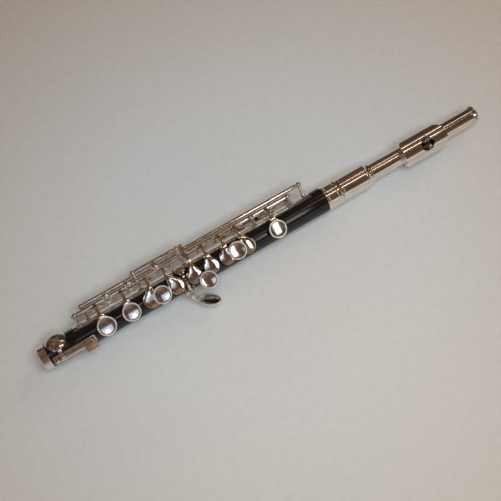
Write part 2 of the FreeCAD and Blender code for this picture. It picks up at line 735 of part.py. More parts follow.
def lip_outline(low, high, half):
    """The lip plate seen from above: square towards the foot, round beyond."""
    small = 2.6
    large = 6.0
    diagonal = 1 - math.sqrt(0.5)
    corners = []
    for x_corner, x_sign, radius in ((low, 1, small), (high, -1, large)):
        for side in (-1, 1):
            corners.append((
                FreeCAD.Vector(x_corner, side * (half - radius), 0),
                FreeCAD.Vector(x_corner + x_sign * radius * diagonal, side * (half - radius * diagonal), 0),
                FreeCAD.Vector(x_corner + x_sign * radius, side * half, 0)))
    low_near, low_far, high_near, high_far = corners
    edges = [
        Part.Arc(*low_near).toShape(),
        Part.makeLine(low_near[2], high_near[2]),
        Part.Arc(*reversed(high_near)).toShape(),
        Part.makeLine(high_near[0], high_far[0]),
        Part.Arc(*high_far).toShape(),
        Part.makeLine(high_far[2], low_far[2]),
        Part.Arc(*reversed(low_far)).toShape(),
        Part.makeLine(low_far[0], low_near[0]),
    ]
    item = drawn(Part.Face(Part.Wire(edges)).extrude(FreeCAD.Vector(0, 0, 20)), "lip_outline")
    item.Placement.Base.z = 3.2
    return item


# ------------------------------------------------ straps, posts and steels

RIB_FROM = 50
RIB_TO = 104


def rib(x_low, x_high, angle_from, angle_to, posts):
    """A silver strap on the body, pierced where the posts stand."""
    sweep = angle_to - angle_from
    long_shell = cut(outer_cone("rib_wall"), outer_cone())
    sector = doc.addObject("Part::Cylinder", new_name("sector"))
    bind(sector, Radius="body_top_radius + 5")
    sector.Height = x_high - x_low
    sector.Angle = sweep
    turn = FreeCAD.Rotation(FreeCAD.Vector(0, 1, 0), 90)
    start = FreeCAD.Rotation(X_AXIS, 180 - angle_to)
    sector.Placement = FreeCAD.Placement(FreeCAD.Vector(x_low, 0, 0), start.multiply(turn))
    return cut(common(long_shell, sector), posts)


def make_posts():
    """Posts, the straps under them, the hinge steels and the springs."""
    main_x = [station(name + "_post") for name in ("foot", "stack", "middle", "left", "top")]
    braced_x = [station("stack_post"), station("middle_post")]
    trill_x = [station("low_trill_post"), station("high_trill_post")]

    braces = fuse([strut(x) for x in braced_x])
    main_posts = on_body(fuse([post(x, inner_rod) for x in main_x] + [braces]))
    trill_posts = on_body(fuse([post(x, outer_rod, hole=bore_radius) for x in trill_x]))
    eflat_x = [size("eflat_x") - 4.2, size("eflat_x") + 19.6]
    eflat_posts = on_body(fuse([post(x, eflat_rod, "ball_radius - 0.3") for x in eflat_x]))
    gsharp_x = [station("gsharp") - size("gsharp_post_low"), station("gsharp") + size("gsharp_post_high")]
    gsharp_posts = on_body(fuse([
        post(x, gsharp_rod, "ball_radius - 0.35", flange="small_flange_radius") for x in gsharp_x]))
    thumb_x = [station("thumb_b") - 6.8, station("thumb_bflat") + 6.4]
    thumb_posts = on_body(fuse([post(x, thumb_rod, "ball_radius - 0.2") for x in thumb_x]))

    upper_side_posts = fuse([main_posts, trill_posts, thumb_posts])
    low_rib_end = station("gsharp") - size("gsharp_dome_radius") - 1.0
    high_rib_start = station("gsharp") + size("gsharp_dome_radius") + 0.8
    keep("lower_rib", rib(station("foot_post") - 4.5, low_rib_end, RIB_FROM, RIB_TO, upper_side_posts))
    keep("upper_rib", rib(high_rib_start, station("high_trill_post") + 3, RIB_FROM, RIB_TO, upper_side_posts))
    keep("eflat_rib", rib(eflat_x[0] - 1.9, eflat_x[1] + 2.2, -36, -4, eflat_posts))
    keep("main_posts", group(main_posts))
    keep("trill_posts", group(trill_posts))
    keep("eflat_posts", group(eflat_posts))
    keep("gsharp_posts", group(gsharp_posts))
    keep("thumb_posts", group(thumb_posts))

    past = size("ball_radius") + 0.4
    middle = station("middle_post")
    keep("right_hand_steel", rod_cylinder("steel_radius", main_x[0] - past, middle, inner_rod))
    keep("left_hand_steel", rod_cylinder("steel_radius", middle, main_x[-1] + past, inner_rod))
    keep("eflat_steel", rod_cylinder("steel_radius", eflat_x[0] - past, eflat_x[1] + past, eflat_rod))
    keep("gsharp_steel", rod_cylinder("steel_radius", gsharp_x[0] - past, gsharp_x[1] + past, gsharp_rod))
    keep("thumb_steel", rod_cylinder("steel_radius", thumb_x[0] - past, thumb_x[1] + past, thumb_rod))

    needle = FreeCAD.Vector(0, inner_rod.y - 1.75, inner_rod.z - 1.3)
    springs = []
    for x, direction in zip(main_x, (1, -1, 1, -1, -1)):
        low, high = sorted((x, x + direction * 13))
        springs.append(rod_cylinder(0.22, low, high, needle, "needle"))
    keep("needle_springs", cut(fuse(springs), fuse([post(x, inner_rod) for x in main_x])))


# ---------------------------------------------------------------- the keys

def cup_key(label, x_cup, x_arm, radius, rod, tube_x, extra=(), angle=0):
    """An open key: cup and teardrop arm on a hinge tube, and its pad."""
    pieces = [
        skirt(x_cup, 0, radius),
        teardrop(x_cup, x_arm, radius, rod, cup_roof(x_cup)),
        tube(tube_x[0], tube_x[1], rod),
    ]
    solid = fuse(pieces + list(extra))
    keep(label + "_key", bored(solid, tube_x[0], tube_x[1], rod), rod, -angle)
    keep(label + "_pad", pad(x_cup, 0, radius), rod, -angle)


def raised_disc(x_cup, x_disc, y_disc, radius):
    """A finger disc that stands between two cups, on a stem from its own."""
    top = cup_roof(x_cup) + size("arm_wall")
    stem_x = (x_cup + x_disc) / 2
    stem = cylinder(1.5, "disc_lift + 0.2", FreeCAD.Vector(stem_x, y_disc / 2, top - 0.1), stem="stem")
    return [stem, finger_disc(x_disc, y_disc, top + size("disc_lift"), radius)]


def flat_disc(x_cup, radius):
    return [finger_disc(x_cup, 0, cup_roof(x_cup) + size("arm_wall") - 0.05, radius)]


def make_main_keys():
    """The keys on the main rod, from the foot to the top, and the low G key."""
    open_angle = size("open_angle")
    gap = size("tube_gap") / 2
    foot, stack, middle, left, top = [
        station(name + "_post") for name in ("foot", "stack", "middle", "left", "top")]
    d_x, e_x, f_x, fsharp_x = [station(name) for name in ("d", "e", "f", "fsharp")]
    side_x, g_x, a_x, bflat_x, c_x = [station(name) for name in ("side", "g", "a", "bflat", "c")]
    d_e = (d_x + e_x) / 2
    f_fsharp = (f_x + 2.4 + fsharp_x - 2.7) / 2 + 1
    g_a = (g_x + a_x + 1.6) / 2
    a_bflat = (a_x + 1.6 + bflat_x - 1) / 2

    cup_key("d", d_x, d_x - 0.5, "cup_radius", inner_rod, (foot + post_gap, d_e - gap),
            flat_disc(d_x, "d_disc_radius"), open_angle)
    cup_key("e", e_x, e_x + 0.2, "cup_radius", inner_rod, (d_e + gap, stack - post_gap),
            flat_disc(e_x, "disc_radius"), open_angle)
    cup_key("f", f_x, f_x + 2.4, "cup_radius", inner_rod, (stack + post_gap, f_fsharp - gap),
            raised_disc(f_x, f_x + 6.8, 0, "disc_radius"), open_angle)
    cup_key("fsharp", fsharp_x, fsharp_x - 2.7, "cup_radius", inner_rod,
            (f_fsharp + gap, middle - post_gap), (), open_angle)
    cup_key("g", g_x, g_x + 0.1, "left_cup_radius", inner_rod, (middle + post_gap, g_a - gap),
            raised_disc(g_x, g_x - 6.0, -size("g_disc_offset"), "g_disc_radius"), open_angle)
    cup_key("a", a_x, a_x + 1.6, "left_cup_radius", inner_rod, (g_a + gap, a_bflat - gap),
            raised_disc(a_x, a_x + 7.2, 0.8, "left_disc_radius"), open_angle)
    cup_key("bflat", bflat_x, bflat_x - 1.3, "left_cup_radius", inner_rod,
            (a_bflat + gap, left - post_gap), (), open_angle)
    cup_key("c", c_x, c_x + 0.5, "left_cup_radius", inner_rod, (left + post_gap, top - post_gap),
            flat_disc(c_x, "left_disc_radius"), open_angle)

    # the low G key: its arm passes over the main rod to the side rod
    arm_x = middle + post_gap + 0.95
    tube_low = stack + post_gap
    tube_high = middle - post_gap
    pieces = [
        skirt(side_x, 0, "left_cup_radius"),
        teardrop(side_x, arm_x, "left_cup_radius", side_rod, cup_roof(side_x)),
        tube(tube_low, tube_high, side_rod),
        tube(middle + post_gap, middle + post_gap + 2.2, side_rod),
        rod_cylinder("steel_radius", stack - 2.2, middle + post_gap + 1, side_rod),
    ]
    touch_x = station("side_touch")
    pieces += round_touch(touch_x, side_rod, size("side_touch_y"))
    keep("low_g_key", fuse(pieces), side_rod, -side_open_angle)
    keep("low_g_pad", pad(side_x, 0, "left_cup_radius"), side_rod, -side_open_angle)


def round_touch(x, rod, touch_y):
    """A round touch on an arm that rises from its rod."""
    radius = size("trill_touch_radius")
    height = size("touch_z")
    button = cylinder("trill_touch_radius", 1.6, FreeCAD.Vector(x, touch_y, height), stem="touch")
    ball = sphere(radius * 1.35, FreeCAD.Vector(x, touch_y, height + 1.6 - radius * 1.35))
    return [common(button, ball), bar(x, 1.5, (rod.y + 0.3, rod.z + 0.9), (touch_y, height + 0.5), 0.9)]


def make_trill_keys():
    """Two closed trill keys on one rod: the upper's tube turns on the lower's rod."""
    low_post = station("low_trill_post")
    high_post = station("high_trill_post")
    low_touch = station("low_touch")
    high_touch = station("high_touch")
    low_cup = station("low_trill")
    high_cup = station("high_trill")
    tube_low = high_touch - 3
    tube_high = low_cup + 2.6
    past = size("ball_radius") + 0.3
    gap = size("tube_gap")

    def trill_cup(x):
        angle = size("trill_angle")
        top = around(x, angle, cup_roof(x) + 1.2)
        return [
            skirt(x, angle, "trill_cup_radius"),
            dome(x, angle, "trill_cup_radius", 1.0),
            bar(x, 2.0, (outer_rod.y, outer_rod.z - 0.9), point_of(top), 1.0),
        ]

    def tail(x):
        """The curved tail that passes over the main rod."""
        foot = (outer_rod.y + 0.3, outer_rod.z + 0.9)
        shoulder = (outer_rod.y - 0.9, inner_rod.z + 2.75)
        crest = (inner_rod.y - 1.6, inner_rod.z + 2.75)
        tip = (inner_rod.y - 4.2, inner_rod.z + 1.2)
        return [bar(x, 1.5, low, high, 0.9) for low, high in ((foot, shoulder), (shoulder, crest), (crest, tip))]

    lower = [
        rod_cylinder("steel_radius", low_post - past, high_post + past, outer_rod),
        tube(low_post + post_gap, tube_low - gap, outer_rod),
        tube(tube_high + gap, high_post - post_gap, outer_rod),
    ]
    lower += round_touch(low_touch, outer_rod, size("trill_touch_y")) + tail(low_touch)
    lower += trill_cup(high_cup)
    keep("lower_trill_key", fuse(lower))
    keep("lower_trill_pad", pad(high_cup, size("trill_angle"), "trill_cup_radius"))

    upper = [tube(tube_low, tube_high, outer_rod)]
    upper += round_touch(high_touch, outer_rod, size("trill_touch_y")) + tail(high_touch)
    upper += trill_cup(low_cup)
    keep("upper_trill_key", bored(fuse(upper), tube_low, tube_high, outer_rod))
    keep("upper_trill_pad", pad(low_cup, size("trill_angle"), "trill_cup_radius"))


def make_eflat_key():
    """The closed foot key: cup, bent arm, tube and square touch."""
    x = size("eflat_x")
    angle = size("eflat_angle")
    tube_x = (x - 4.2 + size("ball_radius"), x + 19.6 - size("ball_radius"))
    ring = cup_roof(x) + 2.15
    plate = box(7.4, 7.6, 1.0, FreeCAD.Vector(x + 13.6, eflat_rod.y - 3.4, eflat_rod.z + 1.9), "touch")
    plate_edge = box(7.4, 1.0, 0.5, FreeCAD.Vector(x + 13.6, eflat_rod.y - 3.4, eflat_rod.z + 2.7), "edge")
    web = box(2.4, 1.4, 2.2, FreeCAD.Vector(x + 13.4, eflat_rod.y - 0.7, eflat_rod.z + 0.5), "web")
    cup = fuse([skirt(x, angle, "eflat_dome_radius"), dome(x, angle, "eflat_dome_radius", 2.4)])
    arm = band(x - 1.1, 2.2, ring, ring + 1.1, size("eflat_rod_angle") + 2, angle - 22)
    lever = fuse([tube(tube_x[0], tube_x[1], eflat_rod), web, fuse([plate, plate_edge])])
    pieces = [fuse([cup, arm]), lever]
    keep("eflat_key", bored(fuse(pieces), tube_x[0], tube_x[1], eflat_rod))
    keep("eflat_pad", pad(x, angle, "eflat_dome_radius"))


def make_gsharp_key():
    """The closed G sharp key: cup, arm over the body, tube and spoon."""
    x = station("gsharp")
    arm_x = x - 0.3
    angle = size("gsharp_angle")
    ball = size("ball_radius") - 0.15
    tube_x = (x - size("gsharp_post_low") + ball, x + size("gsharp_post_high") - ball)
    ring = size("gsharp_rod_distance") - 0.9
    centre = FreeCAD.Vector(x + size("spoon_offset"), size("spoon_y"), size("spoon_z"))

    def bowl(shrink):
        item = doc.addObject("Part::Ellipsoid", new_name("bowl"))
        bind(item, Radius1=f"spoon_depth - {shrink}", Radius2=f"spoon_half_length - {shrink}",
             Radius3=f"spoon_half_width - {shrink}")
        item.Angle1 = -90
        item.Angle2 = 0 if shrink == "0" else 90
        return item

    spoon = cut(bowl("0"), bowl("spoon_wall"))
    lean = FreeCAD.Rotation(X_AXIS, size("spoon_lean")).multiply(FreeCAD.Rotation(Z_AXIS, size("spoon_turn")))
    spoon.Placement = FreeCAD.Placement(centre, lean)
    start = around(0, size("gsharp_rod_angle") - 4, ring + 0.6)
    elbow = FreeCAD.Vector(arm_x, -11.4, 7.3)
    root = centre + lean.multVec(FreeCAD.Vector(-0.80, 0, 0) * size("spoon_half_length")
                                 + FreeCAD.Vector(0, 0, -0.40) * size("spoon_depth"))
    neck = root - elbow
    pieces = [
        skirt(x, angle, "gsharp_dome_radius"),
        dome(x, angle, "gsharp_dome_radius", 1.3),
        band(arm_x - 0.75, 1.5, ring, ring + 1.3, size("gsharp_rod_angle") - 6, angle - 6),
        tube(tube_x[0], tube_x[1], gsharp_rod),
        bar(arm_x, 1.6, point_of(start), point_of(elbow), 1.2),
        sphere("arm_wall", elbow),
        cylinder("arm_wall", neck.Length, elbow, neck, "neck"),
        spoon,
    ]
    keep("gsharp_key", bored(fuse(pieces), tube_x[0], tube_x[1], gsharp_rod))
    keep("gsharp_pad", pad(x, angle, "gsharp_dome_radius"))


def make_thumb_keys():
    """Two open thumb keys side by side on the underside."""
    angle = size("thumb_angle")
    split = (station("thumb_b") + station("thumb_bflat")) / 2
    ends = {
        "thumb_b": (station("thumb_b") - 6.8 + size("ball_radius"), split - 0.1),
        "thumb_bflat": (split + 0.1, station("thumb_bflat") + 6.4 - size("ball_radius")),
    }
    for name, shift in (("thumb_b", -1.6), ("thumb_bflat", 1.4)):
        x = station(name)
        low, high = ends[name]
        top = around(0, angle, cup_roof(x) + 1.3)
        touch = cylinder(3.6, 0.9, around(x + shift, angle, size("thumb_reach") - 0.9), outward(angle), "touch")
        stalk = cylinder(1.2, size("thumb_reach") - cup_roof(x) - 1, around(x, angle, cup_roof(x) + 0.5),
                         outward(angle), "stalk")
        pieces = [
            skirt(x, angle, "thumb_cup_radius"),
            dome(x, angle, "thumb_cup_radius", 1.0),
            bar(x, 2.2, point_of(thumb_rod), point_of(top), 1.0),
            tube(low, high, thumb_rod),
            touch,
            stalk,
        ]
        keep(name + "_key", bored(fuse(pieces), low, high, thumb_rod), thumb_rod, size("open_angle"))
        keep(name + "_pad", pad(x, angle, "thumb_cup_radius"), thumb_rod, size("open_angle"))


# -------------------------------------------------------- build and export

def check_document():
    """Stop if any feature failed or any sub-part has no valid shape."""
    for item in doc.Objects:
        if "Invalid" in item.State or "Error" in item.State:
            raise RuntimeError(f"{item.Label} failed: {item.State}")
    for item in parts:
        if item.Shape.isNull() or not item.Shape.isValid() or item.Shape.Volume <= 0:
            raise RuntimeError(f"{item.Label} has no valid shape")


make_body()
make_rings()
make_tenon_cork()
make_head_joint()
make_posts()
make_main_keys()
make_trill_keys()
make_eflat_key()
make_gsharp_key()
make_thumb_keys()
doc.recompute()
check_document()
os.makedirs("parts", exist_ok=True)
for piece in parts:
    piece.Shape.exportStep(f"parts/{piece.Label}.step")
    print(f"{piece.Label}: {len(piece.Shape.Solids)} solid(s), {piece.Shape.Volume:.1f} mm3")
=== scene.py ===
import json
import math

import bmesh
import bpy
import numpy as np
from mathutils import Matrix, Vector


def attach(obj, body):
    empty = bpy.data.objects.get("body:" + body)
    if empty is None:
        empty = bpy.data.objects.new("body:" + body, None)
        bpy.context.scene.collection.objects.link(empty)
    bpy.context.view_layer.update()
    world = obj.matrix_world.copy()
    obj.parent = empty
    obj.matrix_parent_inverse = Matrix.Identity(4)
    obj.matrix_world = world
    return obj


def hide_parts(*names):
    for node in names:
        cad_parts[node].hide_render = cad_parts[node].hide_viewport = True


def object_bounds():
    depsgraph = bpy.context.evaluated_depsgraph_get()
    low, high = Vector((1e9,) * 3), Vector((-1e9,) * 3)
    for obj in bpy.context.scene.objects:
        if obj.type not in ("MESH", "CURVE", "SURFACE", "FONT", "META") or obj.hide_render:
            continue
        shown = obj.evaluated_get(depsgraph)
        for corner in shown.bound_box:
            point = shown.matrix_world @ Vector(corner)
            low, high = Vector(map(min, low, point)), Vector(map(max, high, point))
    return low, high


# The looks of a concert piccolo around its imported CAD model: a glossy black
# body, silver-plated keywork and a silver-plated head joint on a pale table.
# Lengths are in metres.  The drawing frame has +X up the bore, +Z towards the
# player's fingers and +Y on the side of the hinge rods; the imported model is
# that frame rolled about the bore.

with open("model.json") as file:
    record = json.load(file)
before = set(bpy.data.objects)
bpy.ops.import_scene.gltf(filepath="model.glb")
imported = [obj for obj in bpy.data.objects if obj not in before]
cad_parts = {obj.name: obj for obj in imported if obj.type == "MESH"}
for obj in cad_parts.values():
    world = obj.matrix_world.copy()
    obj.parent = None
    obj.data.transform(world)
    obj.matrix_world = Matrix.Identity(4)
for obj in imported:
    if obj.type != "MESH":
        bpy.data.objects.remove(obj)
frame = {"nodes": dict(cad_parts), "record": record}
cad_low, cad_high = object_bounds()
nodes = frame["nodes"]
scene = bpy.context.scene

MM = 0.001
ROLL = math.radians(32)


# -------------------------------------------------------------- materials

def colour_ramp(tree, value, stops):
    """A colour ramp over the value; each stop is (position, colour or grey)."""
    item = tree.nodes.new("ShaderNodeValToRGB")
    while len(item.color_ramp.elements) < len(stops):
        item.color_ramp.elements.new(0.5)
    for element, (position, colour) in zip(item.color_ramp.elements, stops):
        element.position = position
        if isinstance(colour, (int, float)):
            colour = (colour, colour, colour)
        element.color = (*colour, 1)
    tree.links.new(value, item.inputs["Fac"])
    return item.outputs["Color"]


def colour_mix(tree, share, first, second, mode="MIX"):
    """Two colours put together; share is an output, or a plain number."""
    item = tree.nodes.new("ShaderNodeMix")
    item.data_type = "RGBA"
    item.blend_type = mode
    if isinstance(share, float):
        item.inputs["Factor"].default_value = share
    else:
        tree.links.new(share, item.inputs["Factor"])
    tree.links.new(first, item.inputs["A"])
    tree.links.new(second, item.inputs["B"])
    return item.outputs["Result"]


class Paint:
    """A node material that is built up around one Principled shader."""

    def __init__(self, name):
        self.material = bpy.data.materials.new(name)
        self.material.use_nodes = True
        self.tree = self.material.node_tree
        self.shader = self.tree.nodes["Principled BSDF"]
        self.place = self.node("ShaderNodeTexCoord").outputs["Object"]

    def node(self, kind, **settings):
        item = self.tree.nodes.new(kind)
        for key, value in settings.items():
            setattr(item, key, value)
        return item

    def join(self, output, socket):
        self.tree.links.new(output, socket)

    def set(self, **values):
        for key, value in values.items():
            self.shader.inputs[key.replace("_", " ")].default_value = value

    def stretched(self, scale):
        """Object coordinates, stretched by a different number on each axis."""
        mapping = self.node("ShaderNodeMapping")
        mapping.inputs["Scale"].default_value = scale
        self.join(self.place, mapping.inputs["Vector"])
        return mapping.outputs["Vector"]

    def noise(self, scale, detail=4.0, rough=0.6, where=None):
        item = self.node("ShaderNodeTexNoise")
        item.inputs["Scale"].default_value = scale
        item.inputs["Detail"].default_value = detail
        item.inputs["Roughness"].default_value = rough
        self.join(where or self.place, item.inputs["Vector"])
        return item.outputs["Fac"]

    def ramp(self, value, stops):
        return colour_ramp(self.tree, value, stops)

    def span(self, value, low, high, start=0.3, end=0.7):
        """The same value, mapped from start..end to low..high."""
        item = self.node("ShaderNodeMapRange")
        for key, number in (("From Min", start), ("From Max", end), ("To Min", low), ("To Max", high)):
            item.inputs[key].default_value = number
        self.join(value, item.inputs["Value"])
        return item.outputs["Result"]

    def mix(self, share, first, second):
        return colour_mix(self.tree, share, first, second)

    def bump(self, value, strength, depth):
        item = self.node("ShaderNodeBump")
        item.inputs["Strength"].default_value = strength
        item.inputs["Distance"].default_value = depth
        self.join(value, item.inputs["Height"])
        self.join(item.outputs["Normal"], self.shader.inputs["Normal"])

    def colour(self, value):
        self.join(value, self.shader.inputs["Base Color"])

    def roughness(self, value):
        self.join(value, self.shader.inputs["Roughness"])


def plated(name, bright, dull, smooth, rough, scratch=(900, 900, 900)):
    """Polished plate with faint tarnish clouds and fine polishing marks."""
    look = Paint(name)
    look.set(Metallic=1.0)
    clouds = look.noise(140, 5, 0.65)
    look.colour(look.ramp(clouds, [(0.30, dull), (0.62, bright)]))
    marks = look.noise(1, 6, 0.7, look.stretched(scratch))
    look.roughness(look.span(marks, smooth, rough))
    look.bump(marks, 0.12, 0.00002)
    return look.material


def black_body():
    """Polished black: near-black brown with fine grain along the bore."""
    look = Paint("black_body")
    grain = look.noise(1, 8, 0.7, look.stretched((60, 1400, 1400)))
    look.colour(look.ramp(grain, [(0.35, (0.003, 0.003, 0.0035)), (0.75, (0.009, 0.008, 0.008))]))
    haze = look.noise(90, 4, 0.6)
    look.roughness(look.span(haze, 0.07, 0.14))
    look.set(Specular_IOR_Level=0.5)
    look.bump(grain, 0.10, 0.00003)
    return look.material


def steel(name, low, high, smooth, rough):
    look = Paint(name)
    look.set(Metallic=1.0)
    lines = look.noise(1, 5, 0.6, look.stretched((4000, 500, 500)))
    look.colour(look.ramp(lines, [(0.3, low), (0.7, high)]))
    look.roughness(look.span(lines, smooth, rough))
    look.bump(lines, 0.15, 0.00002)
    return look.material


def pad_skin():
    """Thin double skin over felt: cream, wrinkled a little and faintly shiny."""
    look = Paint("pad_skin")
    cells = look.node("ShaderNodeTexVoronoi")
    cells.inputs["Scale"].default_value = 900
    look.join(look.place, cells.inputs["Vector"])
    clouds = look.noise(260, 5, 0.6)
    look.colour(look.ramp(clouds, [(0.3, (0.62, 0.47, 0.30)), (0.7, (0.83, 0.72, 0.54))]))
    look.roughness(look.span(clouds, 0.45, 0.62))
    look.bump(cells.outputs["Distance"], 0.25, 0.00005)
    return look.material


def cork():
    """Cork: warm brown granules with dark pores."""
    look = Paint("cork")
    cells = look.node("ShaderNodeTexVoronoi")
    cells.inputs["Scale"].default_value = 1100
    look.join(look.place, cells.inputs["Vector"])
    clouds = look.noise(900, 6, 0.7)
    light = look.ramp(clouds, [(0.3, (0.42, 0.24, 0.12)), (0.7, (0.66, 0.44, 0.25))])
    dark = look.ramp(clouds, [(0.3, (0.14, 0.07, 0.035)), (0.7, (0.30, 0.17, 0.09))])
    pores = look.ramp(cells.outputs["Distance"], [(0.10, 1.0), (0.28, 0.0)])
    look.colour(look.mix(pores, light, dark))
    look.roughness(look.span(clouds, 0.72, 0.9))
    look.bump(clouds, 0.5, 0.0001)
    return look.material


def dished():
    """Silver plate of a finger disc: painted shade in the corner of the bead, a satin bead."""
    look = Paint("dish_silver")
    clouds = look.noise(160, 5, 0.65)
    plate = look.ramp(clouds, [(0.30, (0.76, 0.72, 0.68)), (0.62, (0.90, 0.88, 0.86))])
    # painted shade: a dark colour for the corner where the dish meets the bead
    painted_corner_shade = look.ramp(clouds, [(0.30, (0.10, 0.085, 0.07)), (0.62, (0.20, 0.17, 0.14))])
    corner = look.node("ShaderNodeAttribute", attribute_name="corner").outputs["Fac"]
    bead = look.node("ShaderNodeAttribute", attribute_name="bead").outputs["Fac"]
    look.colour(look.mix(corner, plate, painted_corner_shade))
    marks = look.noise(900, 6, 0.7)
    look.roughness(look.span(marks, 0.07, 0.16))
    look.join(look.span(bead, 1.0, 0.72, 0.0, 1.0), look.shader.inputs["Metallic"])
    look.bump(marks, 0.12, 0.00002)
    return look.material


SILVER = plated("silver_plate", (0.90, 0.87, 0.83), (0.78, 0.73, 0.67), 0.05, 0.13)
HEAD = plated("head_silver", (0.88, 0.84, 0.79), (0.76, 0.70, 0.64), 0.07, 0.15, (250, 2500, 2500))
STEEL = steel("rod_steel", (0.50, 0.48, 0.45), (0.66, 0.64, 0.60), 0.2, 0.35)
SPRING = steel("blued_steel", (0.05, 0.06, 0.11), (0.12, 0.14, 0.22), 0.25, 0.4)
SKIN = pad_skin()
CORK = cork()
BLACK = black_body()
DISH = dished()

LOOKS = {
    "black_body": BLACK,
    "steel": STEEL,
    "spring_steel": SPRING,
    "cork": CORK,
    "pad_skin": SKIN,
}
HEAD_NODES = {"head_tube", "head_socket", "lip_plate", "embouchure_riser", "crown", "receiver_ring"}


def paint(item, material):
    """Give a whole piece one material."""
    if not item.data.materials:
        item.data.materials.append(material)
    for place in item.material_slots:
        place.material = material


def slot_of(name):
    """The record's material slot of a CAD node."""
    for part in frame["record"]["subparts"]:
        if part["node"] == name:
            return part["material_slot"]
    return "silver_plate"


for name, item in nodes.items():
    if name in HEAD_NODES:
        paint(item, HEAD)
    else:
        paint(item, LOOKS.get(slot_of(name), SILVER))


# ------------------------------------------------ the instrument's own sizes

BODY_LENGTH = 0.2005
FOOT_RADIUS = 0.00755
TOP_RADIUS = 0.0084
SEAT_DROP = 0.001
PAD_TOP = 0.00163
ARM_WALL = 0.0011
ARM_NECK = 0.0092
ARM_HALF_WIDTH = 0.00095
PAD_MARGIN = 0.00025
# the G sharp hinge: its distance from the bore's centre line, and its turn about it
GSHARP_REACH = 11.0 * MM
GSHARP_TURN = math.radians(-38)
# hinges as (y, z) of the drawing frame
INNER_ROD = (0.0140, 0.0026)
SIDE_ROD = (0.0194, 0.0023)
GSHARP_ROD = (GSHARP_REACH * math.sin(GSHARP_TURN), GSHARP_REACH * math.cos(GSHARP_TURN))
EFLAT_ROD = (-0.00366, 0.00952)
# how far the open keys stand off their seats
OPEN = math.radians(6)
SIDE_OPEN = OPEN * INNER_ROD[0] / SIDE_ROD[0]

# places along the body in percent of its length
PLACES = {
    "d": 21.4, "e": 29.7, "f": 36.7, "fsharp": 45.2, "gsharp": 48.5, "middle_post": 50.7,
    "low_g": 51.5, "g": 57.5, "a": 63.0, "bflat": 70.2, "c": 80.9,
}


def station(name):
    return PLACES[name] / 100 * BODY_LENGTH


def at_rest(point, rod, angle):
    """A point of the drawing frame, swung about its rod and rolled."""
    x, y, z = point
    y, z = y - rod[0], z - rod[1]
    y, z = (y * math.cos(angle) - z * math.sin(angle) + rod[0],
            y * math.sin(angle) + z * math.cos(angle) + rod[1])
    return Vector((x, y * math.cos(ROLL) - z * math.sin(ROLL), y * math.sin(ROLL) + z * math.cos(ROLL)))


def roof_of(x):
    """Top of a closed cup at x, from the bore's centre line."""
    share = x / BODY_LENGTH
    return FOOT_RADIUS * (1 - share) + TOP_RADIUS * share - SEAT_DROP + PAD_TOP + ARM_WALL


def turn_of(step, steps):
    """The angle of one step of a full turn."""
    return 2 * math.pi * step / steps


def skin(grid, rows):
    """Faces between closed rings of vertices, each ring joined to the next."""
    for lower, upper in zip(rows, rows[1:]):
        for step in range(len(lower)):
            after = (step + 1) % len(lower)
            grid.faces.new((lower[step], lower[after], upper[after], upper[step]))


def make_piece(name, grid, material, body, flat_ends=False):
    """Turn a bmesh into a piece of the visual model that rides on a CAD body."""
    bmesh.ops.recalc_face_normals(grid, faces=grid.faces)
    mesh = bpy.data.meshes.new(name)
    grid.to_mesh(mesh)
    grid.free()
    for face in mesh.polygons:
        face.use_smooth = not flat_ends or len(face.vertices) == 4
    piece = bpy.data.objects.new(name, mesh)
    scene.collection.objects.link(piece)
    paint(piece, material)
    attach(piece, body)
    return piece


# ----------------------------------------------------------- crowned cups

COVER_ROWS = 60
COVER_COLUMNS = 16
COVER_INSET = 0.00012
COVER_SINK = 0.03 * MM
SHOULDER = math.radians(60)
NECK_HOLLOW = 0.35 * MM
CROWN_POWER = 2.2
# the crown is full where the cover is at least 1 / 1.3 of the cup's width
CROWN_SPREAD = 1.3
# rows of a cover stand closer together at the edge away from the rod
ROW_POWER = 1.6
# a cover stops this far short of its rod's centre
ROD_GAP = 0.4 * MM


def cup_cover(key, x_arm, radius, crown, rod, angle):
    """The crowned, soft-edged top of a teardrop cup and its arm."""
    x_cup = station(key)
    roof = roof_of(x_cup)
    shoulder = radius * math.cos(SHOULDER)
    bend = radius - PAD_MARGIN
    end = rod[0] - ROD_GAP
    fall = roof - ARM_WALL - rod[1]
    reach = rod[0] - bend
    curve = (reach ** 2 + fall ** 2) / (2 * fall) + ARM_WALL
    grid = bmesh.new()
    rows = []
    for row in range(COVER_ROWS + 1):
        share = row / COVER_ROWS
        y = -radius + COVER_INSET + (end + radius - COVER_INSET) * share ** ROW_POWER
        if y < shoulder:
            half = math.sqrt(max((radius - COVER_INSET) ** 2 - y ** 2, 0))
            middle = x_cup
        else:
            t = min((y - shoulder) / (ARM_NECK - shoulder), 1)
            start = radius * math.sin(SHOULDER)
            half = start + (ARM_HALF_WIDTH - start) * t - NECK_HOLLOW * 4 * t * (1 - t) - COVER_INSET
            middle = x_cup + (x_arm - x_cup) * t
        top = roof if y < bend else roof - curve + math.sqrt(max(curve ** 2 - (y - bend) ** 2, 0))
        swell = crown * min(1, half / radius * CROWN_SPREAD)
        near = min(1, abs(-radius - y) / radius)
        line = []
        for step in range(COVER_COLUMNS + 1):
            u = math.sin((-1 + 2 * step / COVER_COLUMNS) * math.pi / 2)
            rim = max(abs(u), 1 - near if y < 0 else 0)
            height = swell * (1 - rim ** CROWN_POWER) - COVER_SINK
            line.append(grid.verts.new(at_rest((middle + u * half, y, top + height), rod, angle)))
        rows.append(line)
    for lower, upper in zip(rows, rows[1:]):
        for column in range(COVER_COLUMNS):
            grid.faces.new((lower[column], lower[column + 1], upper[column + 1], upper[column]))
    bmesh.ops.remove_doubles(grid, verts=grid.verts, dist=0.000001)
    make_piece(key + "_cup_cover", grid, SILVER, key + "_key")


